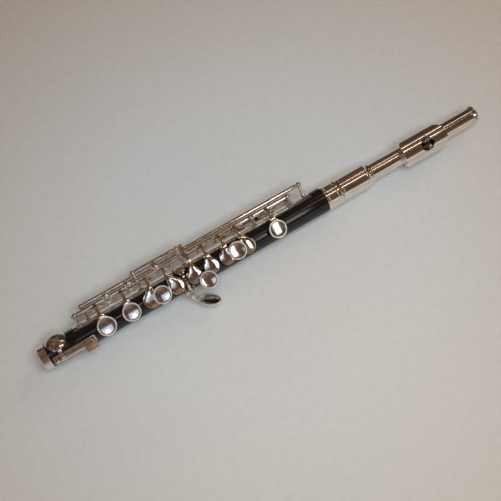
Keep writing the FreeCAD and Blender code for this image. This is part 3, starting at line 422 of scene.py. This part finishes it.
# key: shift of the arm, radius of the cup and height of its crown, in millimetres
CUPS = {
    "d": (-0.5, 5.9, 0.35),
    "e": (0.2, 5.7, 0.35),
    "f": (2.4, 5.2, 0.50),
    "fsharp": (-2.7, 5.2, 0.75),
    "g": (0.1, 5.0, 0.50),
    "a": (1.6, 5.0, 0.50),
    "bflat": (-1.3, 5.0, 0.62),
    "c": (0.5, 5.0, 0.35),
}
ARMS = {key: station(key) + shift * MM for key, (shift, _, _) in CUPS.items()}
for key, (_, radius, crown) in CUPS.items():
    cup_cover(key, ARMS[key], radius * MM, crown * MM, INNER_ROD, -OPEN)
LOW_G_ARM = station("middle_post") + 2.8 * MM
LOW_G_RADIUS = 5.0 * MM
LOW_G_CROWN = 0.6 * MM
cup_cover("low_g", LOW_G_ARM, LOW_G_RADIUS, LOW_G_CROWN, SIDE_ROD, -SIDE_OPEN)


# ----------------------------------------------------------- finger discs

DISC_LIFT = 0.55 * MM
DISC_HEIGHT = 1.5 * MM
DISC_SINK = 0.05 * MM
BEAD = 0.5 * MM
DISH_DEPTH = 0.4 * MM
SKIN_GAP = 0.03 * MM
SKIRT = 0.4 * MM
CORNER_SHARE = 0.11
DISC_TURNS = 72
DISH_STEPS = 12
BEAD_STEPS = 8

# key, disc beyond its cup, disc across, radius (millimetres), and whether it is raised
DISCS = [
    ("d", 0, 0, 5.9, False),
    ("e", 0, 0, 5.7, False),
    ("f", 6.8, 0, 5.7, True),
    ("g", -6.0, -6.0, 5.65, True),
    ("a", 7.2, 0.8, 5.75, True),
    ("c", 0, 0, 5.75, False),
]


def disc_outline(radius):
    """From the middle outwards: distance, height, share of painted corner shade, share of bead."""
    inner = radius - 2 * BEAD
    outline = []
    for step in range(DISH_STEPS + 1):
        reach = inner * (0.01 + 0.99 * step / DISH_STEPS)
        depth = DISH_DEPTH * (1 - (reach / inner) ** 2)
        # the painted shade deepens towards the corner of the bead
        corner = max(0.0, 1 - (inner - reach) / (CORNER_SHARE * inner))
        outline.append((reach, SKIN_GAP - depth, corner, 0.0))
    for step in range(BEAD_STEPS + 1):
        turn = math.pi * (1 - step / BEAD_STEPS)
        reach = radius - BEAD + (BEAD + SKIN_GAP) * math.cos(turn)
        lift = (BEAD + SKIN_GAP) * math.sin(turn)
        in_corner = step == 0
        outline.append((reach, lift + SKIN_GAP, float(in_corner), float(not in_corner)))
    # the skirt gets a little of the painted corner shade
    outline.append((radius + SKIN_GAP, -SKIRT, 0.3, 0.6))
    return outline


def disc_face(key, along, across, radius, raised):
    """The dished face and the bead of a finger disc, a hair above the CAD disc."""
    x = station(key) + along * MM
    top = roof_of(station(key)) + (DISC_LIFT if raised else -DISC_SINK) + DISC_HEIGHT
    grid = bmesh.new()
    # the corner layer is the mask of the painted corner shade
    corner_layer = grid.verts.layers.float.new("corner")
    bead_layer = grid.verts.layers.float.new("bead")
    rows = []
    for reach, lift, corner, bead in disc_outline(radius * MM):
        row = []
        for step in range(DISC_TURNS):
            turn = turn_of(step, DISC_TURNS)
            point = (x + reach * math.cos(turn), across * MM + reach * math.sin(turn), top + lift)
            vert = grid.verts.new(at_rest(point, INNER_ROD, -OPEN))
            vert[corner_layer] = corner
            vert[bead_layer] = bead
            row.append(vert)
        rows.append(row)
    skin(grid, rows)
    grid.faces.new(rows[0])
    make_piece(key + "_disc_face", grid, DISH, key + "_key")


for disc in DISCS:
    disc_face(*disc)


# ------------------------------------------------------------------- pads

# outline of a pad from the middle of its face: share of the radius, and depth
# below the face in millimetres; the groove is the print of the tone hole's rim
PAD_FACE = [
    (0.02, 0.10), (0.30, 0.08), (0.44, 0.09), (0.50, 0.16), (0.54, 0.17), (0.60, 0.09), (0.74, 0.03),
    (0.86, 0.05), (0.94, 0.14), (0.985, 0.30), (1.0, 0.55),
]
PAD_TURNS = 56
PAD_CHAMFER = 0.05 * MM
# any direction that no pad's axis has
OFF_AXIS = Vector((1, 0.3, 0.2))


def axis_and_size(node):
    """Axis towards the seat, middle, half height and radius of a CAD pad."""
    points = np.array([node.matrix_world @ vert.co for vert in node.data.vertices])
    spread = np.linalg.eigh(np.cov((points - points.mean(axis=0)).T))
    axis = Vector(spread[1][:, 0]).normalized()
    middle = Vector((points.min(axis=0) + points.max(axis=0)) / 2)
    if axis.dot(Vector((0, middle.y, middle.z))) > 0:
        axis = -axis
    along = points @ np.array(axis)
    middle += axis * ((along.min() + along.max()) / 2 - middle.dot(axis))
    across = points - np.outer(along, np.array(axis))
    flat_middle = np.array(middle - axis * middle.dot(axis))
    radius = np.linalg.norm(across - flat_middle, axis=1).max()
    return axis, middle, (along.max() - along.min()) / 2, radius


def turned_pad(name):
    """A pad in the place of its plain CAD disc: domed face, seat print, soft edge."""
    axis, middle, half, radius = axis_and_size(nodes[name])
    side = axis.cross(OFF_AXIS).normalized()
    other = axis.cross(side)
    outline = [(share * radius, half - depth * MM) for share, depth in PAD_FACE]
    outline += [(radius, -half + PAD_CHAMFER), (radius - PAD_CHAMFER, -half)]
    grid = bmesh.new()
    rows = []
    for reach, height in outline:
        hub = middle + axis * height
        row = []
        for step in range(PAD_TURNS):
            turn = turn_of(step, PAD_TURNS)
            point = hub + side * (reach * math.cos(turn)) + other * (reach * math.sin(turn))
            row.append(grid.verts.new(point))
        rows.append(row)
    skin(grid, rows)
    grid.faces.new(rows[0])
    grid.faces.new(rows[-1])
    key = name.replace("_pad", "_key")
    pad = make_piece(name + "_turned", grid, SKIN, key, flat_ends=True)
    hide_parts(name)


for name in sorted(nodes):
    if name.endswith("_pad"):
        turned_pad(name)


# ------------------------------------------------------------ clutch lugs

# bevel of a block's edges as a share of its smallest half size
BLOCK_BEVEL = 0.45


def rounded_block(name, body, centre, half, rod, angle=0.0, lean=0.0):
    """A silver block with rounded edges, leaned about X; centre is in the drawing frame."""
    grid = bmesh.new()
    bmesh.ops.create_cube(grid, size=2)
    bmesh.ops.scale(grid, vec=half, verts=grid.verts)
    bmesh.ops.bevel(grid, geom=grid.edges, offset=min(half) * BLOCK_BEVEL, segments=3, profile=0.6,
                    affect="EDGES")
    turn = Matrix.Rotation(lean, 3, "X")
    for vert in grid.verts:
        vert.co = at_rest(turn @ vert.co + Vector(centre), rod, angle)
    make_piece(name, grid, SILVER, body)


# key, offset of the lug from the key's arm, half length (millimetres)
LUGS = [
    ("d", -4.6, 1.3), ("d", 4.2, 1.7), ("e", -4.8, 1.5), ("e", 3.9, 1.4),
    ("f", -4.4, 1.2), ("f", 3.2, 1.5), ("fsharp", -2.9, 1.0), ("fsharp", 4.0, 1.8),
    ("g", -3.0, 0.9), ("g", 2.6, 1.0), ("a", -3.0, 1.2), ("a", 3.4, 1.6),
    ("bflat", -3.6, 1.3), ("bflat", 4.4, 1.9), ("c", -4.6, 1.6), ("c", 4.8, 1.7),
]
LUG_Y = INNER_ROD[0] - 1.95 * MM
LUG_Z = INNER_ROD[1] - 0.45 * MM
LUG_HALF_DEPTH = 1.30 * MM
LUG_HALF_HEIGHT = 0.42 * MM
LUG_LEAN = math.radians(12)
for number, (key, offset, half_length) in enumerate(LUGS):
    place = (ARMS[key] + offset * MM, LUG_Y, LUG_Z)
    half = (half_length * MM, LUG_HALF_DEPTH, LUG_HALF_HEIGHT)
    rounded_block(f"{key}_lug_{number}", key + "_key", place, half, INNER_ROD, -OPEN, LUG_LEAN)


# --------------------------------------------------- G sharp spoon and stem

WIRE_TURNS = 14
# where a wire's first ring starts; each later ring carries on from the one before
RING_START = Vector((0.31, 0.42, 0.85))


def swept(name, points, radii, material, closed=False):
    """A round wire of the G sharp key through the points, thick as the radii say."""
    centres = [at_rest(point, GSHARP_ROD, 0) for point in points]
    last = len(centres) - 1
    grid = bmesh.new()
    bead_layer = grid.verts.layers.float.new("bead")
    # the corner layer stays at nought, so the wires get none of the painted corner shade of the discs
    grid.verts.layers.float.new("corner")
    rows = []
    across = RING_START
    for number, (centre, radius) in enumerate(zip(centres, radii)):
        before = centres[number - 1] if number or closed else centre
        after = centres[(number + 1) % len(centres)] if number < last or closed else centre
        along = (after - before).normalized()
        across = (across - along * across.dot(along)).normalized()
        other = along.cross(across)
        row = []
        for step in range(WIRE_TURNS):
            turn = turn_of(step, WIRE_TURNS)
            vert = grid.verts.new(centre + (across * math.cos(turn) + other * math.sin(turn)) * radius)
            vert[bead_layer] = 1.0
            row.append(vert)
        rows.append(row)
    if closed:
        # the last ring meets the first at its nearest vertex
        seam = rows[-1][0].co
        shift = min(range(WIRE_TURNS), key=lambda step: (rows[0][step].co - seam).length)
        skin(grid, rows + [rows[0][shift:] + rows[0][:shift]])
    else:
        skin(grid, rows)
        grid.faces.new(rows[0])
        grid.faces.new(rows[-1])
    make_piece(name, grid, material, "gsharp_key", flat_ends=True)


def smooth_path(points, steps):
    """Points on a Catmull-Rom curve through the given ones."""
    path = []
    for number in range(1, len(points)):
        before = points[max(number - 2, 0)]
        start, end = points[number - 1], points[number]
        after = points[min(number + 1, len(points) - 1)]
        for step in range(steps):
            t = step / steps
            slope = end - before
            bend = 2 * before - 5 * start + 4 * end - after
            twist = 3 * start - before - 3 * end + after
            path.append(0.5 * (2 * start + slope * t + bend * t ** 2 + twist * t ** 3))
    return path + [points[-1]]


GSHARP_X = station("gsharp")
SPOON_MIDDLE = Vector((GSHARP_X + 7.6 * MM, -17.7 * MM, 6.6 * MM))
SPOON_TURN = Matrix.Rotation(math.radians(-60), 3, "X") @ Matrix.Rotation(math.radians(-52), 3, "Z")
RIM_HALF_LENGTH = 7.7 * MM
RIM_HALF_WIDTH = 4.2 * MM
RIM_RADIUS = 0.42 * MM
RIM_STEPS = 64
rim = []
for step in range(RIM_STEPS):
    turn = turn_of(step, RIM_STEPS)
    edge = Vector((RIM_HALF_LENGTH * math.cos(turn), RIM_HALF_WIDTH * math.sin(turn), 0))
    rim.append(SPOON_MIDDLE + SPOON_TURN @ edge)
swept("spoon_rim", rim, [RIM_RADIUS] * RIM_STEPS, DISH, closed=True)

# from the G sharp arm down to the root of the bowl: beyond the cup, across, up (millimetres)
STEM_PATH = [(-0.3, -9.6, 8.5), (-0.3, -11.4, 7.3), (0.7, -13.6, 5.0), (3.6, -16.2, 2.2)]
STEM_STEPS = 8
# radius at the arm, and what each step adds to it (millimetres)
STEM_RADIUS = 1.18
STEM_SWELL = 0.012
stem = smooth_path([Vector((GSHARP_X + x * MM, y * MM, z * MM)) for x, y, z in STEM_PATH], STEM_STEPS)
stem_radii = [(STEM_RADIUS + STEM_SWELL * step) * MM for step in range(len(stem))]
swept("spoon_stem", stem, stem_radii, SILVER)


# ------------------------------------------------------------ E flat touch

TOUCH_X = 0.0297
TOUCH_Y = EFLAT_ROD[0] + 0.0004
TOUCH_Z = EFLAT_ROD[1] + 0.0024
TOUCH_HALF = (3.85 * MM, 3.95 * MM, 0.72 * MM)
BOSS_HALF = (2.3 * MM, 2.2 * MM, 0.5 * MM)
BOSS_RISE = 0.8 * MM
rounded_block("eflat_touch_top", "eflat_key", (TOUCH_X, TOUCH_Y, TOUCH_Z), TOUCH_HALF, EFLAT_ROD)
rounded_block("eflat_touch_boss", "eflat_key", (TOUCH_X, TOUCH_Y, TOUCH_Z + BOSS_RISE), BOSS_HALF, EFLAT_ROD)


# ------------------------------------------------------------------ stage

TABLE_HALF = 1.6
TABLE_MIDDLE = 0.15
# distances from the table's middle between which the painted light falloff turns it darker and browner
FALLOFF_FROM = 0.10
FALLOFF_TO = 0.29


def floor(level):
    """A pale table top, faintly mottled, with painted light falloff: darker and browner away from its
    middle.
    """
    mesh = bpy.data.meshes.new("table")
    grid = bmesh.new()
    bmesh.ops.create_grid(grid, x_segments=24, y_segments=24, size=TABLE_HALF)
    grid.to_mesh(mesh)
    grid.free()
    table = bpy.data.objects.new("table", mesh)
    scene.collection.objects.link(table)
    table.location = (TABLE_MIDDLE, 0, level)
    look = Paint("table_top")
    speckle = look.noise(220, 6, 0.6)
    drift = look.noise(2.2, 3, 0.5)
    cool = look.ramp(speckle, [(0.35, (0.50, 0.525, 0.55)), (0.65, (0.535, 0.56, 0.585))])
    warm = look.ramp(speckle, [(0.35, (0.545, 0.525, 0.50)), (0.65, (0.58, 0.555, 0.53))])
    # painted shade: the darker, browner colour where the light falls off away from the table's middle
    edge = look.ramp(speckle, [(0.35, (0.465, 0.405, 0.355)), (0.65, (0.495, 0.435, 0.38))])
    away = look.node("ShaderNodeVectorMath", operation="LENGTH")
    look.join(look.place, away.inputs[0])
    middle = look.mix(look.span(drift, 0, 1), cool, warm)
    painted_falloff = look.span(away.outputs["Value"], 0, 1, FALLOFF_FROM, FALLOFF_TO)
    look.colour(look.mix(painted_falloff, middle, edge))
    look.roughness(look.span(speckle, 0.55, 0.7))
    look.bump(speckle, 0.05, 0.0001)
    table.data.materials.append(look.material)


def lamp(name, centre, aim, size, power, colour, diffuse=True, glossy=True):
    """A rectangular soft light; size is (along X, the other way)."""
    data = bpy.data.lights.new(name, "AREA")
    data.shape = "RECTANGLE"
    data.size, data.size_y = size
    data.energy = power
    data.color = colour
    item = bpy.data.objects.new(name, data)
    scene.collection.objects.link(item)
    item.location = centre
    back = (Vector(centre) - Vector(aim)).normalized()
    side = Vector((1, 0, 0))
    side = (side - back * side.dot(back)).normalized()
    item.rotation_euler = Matrix((side, back.cross(side), back)).transposed().to_euler()
    item.visible_camera = False
    item.visible_diffuse = diffuse
    item.visible_glossy = glossy


def room():
    """The world: a dim warm room that pales near the horizon at the front."""
    world = bpy.data.worlds.new("room")
    scene.world = world
    world.use_nodes = True
    tree = world.node_tree
    background = tree.nodes["Background"]
    place = tree.nodes.new("ShaderNodeTexCoord")
    parts = tree.nodes.new("ShaderNodeSeparateXYZ")
    tree.links.new(place.outputs["Generated"], parts.inputs["Vector"])

    front = colour_ramp(tree, parts.outputs["Z"], [
        (0.0, (0.50, 0.48, 0.46)), (0.30, (0.46, 0.42, 0.38)), (0.38, (0.16, 0.10, 0.06)),
        (0.62, (0.22, 0.14, 0.09)), (0.80, (0.10, 0.062, 0.040)), (1.0, (0.16, 0.10, 0.065)),
    ])
    rear = colour_ramp(tree, parts.outputs["Z"], [
        (0.0, (0.10, 0.075, 0.06)), (0.35, (0.075, 0.05, 0.035)), (0.70, (0.20, 0.125, 0.08)),
        (1.0, (0.16, 0.10, 0.065)),
    ])
    side = tree.nodes.new("ShaderNodeMapRange")
    side.inputs["From Min"].default_value = -0.15
    side.inputs["From Max"].default_value = 0.15
    tree.links.new(parts.outputs["Y"], side.inputs["Value"])
    walls = colour_mix(tree, side.outputs["Result"], front, rear)
    clutter = tree.nodes.new("ShaderNodeTexNoise")
    clutter.inputs["Scale"].default_value = 2.6
    clutter.inputs["Detail"].default_value = 3.0
    clutter.inputs["Roughness"].default_value = 0.55
    tree.links.new(place.outputs["Generated"], clutter.inputs["Vector"])
    shade = colour_ramp(tree, clutter.outputs["Fac"], [
        (0.38, (0.30, 0.31, 0.36)), (0.50, (0.85, 0.84, 0.82)), (0.64, (1.45, 1.42, 1.34)),
    ])
    mottled = colour_mix(tree, 1.0, walls, shade, "MULTIPLY")
    tree.links.new(mottled, background.inputs["Color"])
    background.inputs["Strength"].default_value = 1.0


floor(cad_low.z)
room()
lamp("soft_front", centre=(0.13, -0.22, 0.64), aim=(0.15, 0, 0), size=(0.42, 0.36), power=4.35,
     colour=(0.885, 0.955, 0.98), glossy=False)
lamp("warm_side", centre=(0.85, 0.30, 0.55), aim=(0.4, 0, 0), size=(0.5, 0.5), power=1.6,
     colour=(1.0, 0.70, 0.48), glossy=False)
# the rest are cards that only show as reflections
lamp("window", centre=(0.226, -0.148, 0.21), aim=(0.16, -0.006, 0.01), size=(0.055, 0.11), power=0.055,
     colour=(1.0, 0.99, 0.97), diffuse=False)
lamp("cool_wide", centre=(0.055, -0.125, 0.28), aim=(0.07, -0.004, 0.01), size=(0.13, 0.09), power=0.030,
     colour=(0.66, 0.78, 1.0), diffuse=False)
lamp("cool_near", centre=(0.058, -0.112, 0.27), aim=(0.07, -0.004, 0.01), size=(0.045, 0.035), power=0.010,
     colour=(0.88, 0.94, 1.0), diffuse=False)
lamp("head_strip", centre=(0.64, 0.38, 0.80), aim=(0.28, 0, 0), size=(0.36, 0.035), power=0.13,
     colour=(1.0, 0.95, 0.88), diffuse=False)
lamp("body_strip", centre=(0.42, -0.09, 0.80), aim=(0.18, 0, 0), size=(0.5, 0.030), power=0.26,
     colour=(1.0, 0.78, 0.56), diffuse=False)


# ----------------------------------------------------------------- camera

AZIMUTH = math.radians(-31.54)
ELEVATION = math.radians(68.65)
AIM = Vector((0.1425, -0.0055, 0.0))
DISTANCE = 0.5048
LENS = 57.85

camera_data = bpy.data.cameras.new("camera")
camera_data.sensor_width = 36
camera_data.lens = LENS
camera = bpy.data.objects.new("camera", camera_data)
scene.collection.objects.link(camera)
back = Vector((math.sin(AZIMUTH) * math.cos(ELEVATION), -math.cos(AZIMUTH) * math.cos(ELEVATION),
               math.sin(ELEVATION)))
camera.location = AIM + back * DISTANCE
camera.rotation_mode = "QUATERNION"
camera.rotation_quaternion = back.to_track_quat("Z", "Y")
camera_data.clip_start = 0.01
scene.camera = camera
scene.view_settings.view_transform = "Standard"
